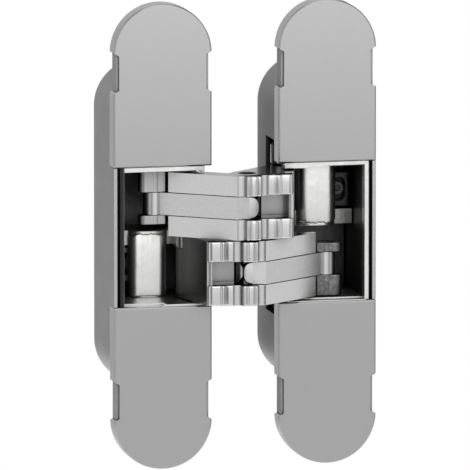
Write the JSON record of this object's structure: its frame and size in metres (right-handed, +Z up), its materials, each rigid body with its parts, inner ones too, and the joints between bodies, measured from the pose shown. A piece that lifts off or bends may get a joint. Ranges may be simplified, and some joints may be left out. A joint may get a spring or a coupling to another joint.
{
  "type": "concealed door hinge",
  "caption": "Concealed hinge whose recessed housings sit under clip-on covers and are joined by crossing, folding arms.",
  "frame": {"origin": "centre of the frame leaf, on the seat face of its flange, midway between its fixing holes", "axes": "+Z up along the leaf, +X towards the door leaf, -Y out of the front of the covers"},
  "size_m": [0.0752, 0.043, 0.1316],
  "materials": {
    "cover": "satin chrome plate on pressed metal",
    "housing": "matt chrome plate on a zinc die casting",
    "core": "bright plated zinc die casting",
    "arm": "satin plated zinc die casting",
    "lever": "satin plated steel",
    "pin": "ground steel",
    "bush": "dark acetal",
    "screw": "zinc plated steel"
  },
  "bodies": {
    "frame_leaf": {"frame_housing": "housing", "frame_core": "core", "frame_root_pin": "pin", "frame_link_pin": "pin", "frame_cover_upper": "cover", "frame_cover_lower": "cover", "frame_height_screw": "screw", "frame_depth_screw": "screw"},
    "frame_side_screw": {"frame_side_screw": "screw"},
    "frame_link": {"frame_link": "core", "frame_tip_pin": "pin"},
    "door_leaf": {"door_housing": "housing", "door_core": "core", "door_root_pin": "pin", "door_link_pin": "pin", "door_cover_upper": "cover", "door_cover_lower": "cover", "door_height_screw": "screw", "door_depth_screw": "screw"},
    "door_side_screw": {"door_side_screw": "screw"},
    "door_link": {"door_link": "core", "door_tip_pin": "pin"},
    "lower_arm": {"lower_arm": "arm", "lower_lever": "lever", "lower_root_bush": "bush", "centre_pin": "pin"},
    "upper_arm": {"upper_arm": "arm", "upper_lever": "lever", "upper_root_bush": "bush", "centre_bush": "bush"}
  },
  "joints": [
    {"name": "fold", "type": "hinge", "parent": "frame_leaf", "child": "lower_arm", "pos_m": [0.0096, 0.0073, 0], "axis": [0, 0, -1], "range_deg": [0, 85.1]},
    {"name": "centre_turn", "type": "hinge", "parent": "lower_arm", "child": "upper_arm", "pos_m": [0.0236, -0.0085, 0], "axis": [0, 0, -1], "range_deg": [0, 9.9]},
    {"name": "door_turn", "type": "hinge", "parent": "upper_arm", "child": "door_leaf", "pos_m": [0.0376, 0.0073, 0], "axis": [0, 0, -1], "range_deg": [0, 85.2]},
    {"name": "frame_link_turn", "type": "hinge", "parent": "frame_leaf", "child": "frame_link", "pos_m": [0.00892, 0.0054, 0], "axis": [0, 0, -1], "range_deg": [0, 104.2]},
    {"name": "door_link_turn", "type": "hinge", "parent": "door_leaf", "child": "door_link", "pos_m": [0.03828, 0.0054, 0], "axis": [0, 0, 1], "range_deg": [0, 104.2]},
    {"name": "frame_side_adjust", "type": "hinge", "parent": "frame_leaf", "child": "frame_side_screw", "pos_m": [-0.0076, 0.015, -0.0103], "axis": [0, -1, 0], "range_deg": [-180, 180]},
    {"name": "door_side_adjust", "type": "hinge", "parent": "door_leaf", "child": "door_side_screw", "pos_m": [0.0548, 0.015, 0.0091], "axis": [0, -1, 0], "range_deg": [-180, 180]}
  ],
  "couplings": [
    {"joint": "centre_turn", "follows": "fold", "ratio": 0.11516},
    {"joint": "door_turn", "follows": "fold", "ratio": 1},
    {"joint": "frame_link_turn", "follows": "fold", "ratio": 1.2233},
    {"joint": "door_link_turn", "follows": "fold", "ratio": 1.2233}
  ]
}
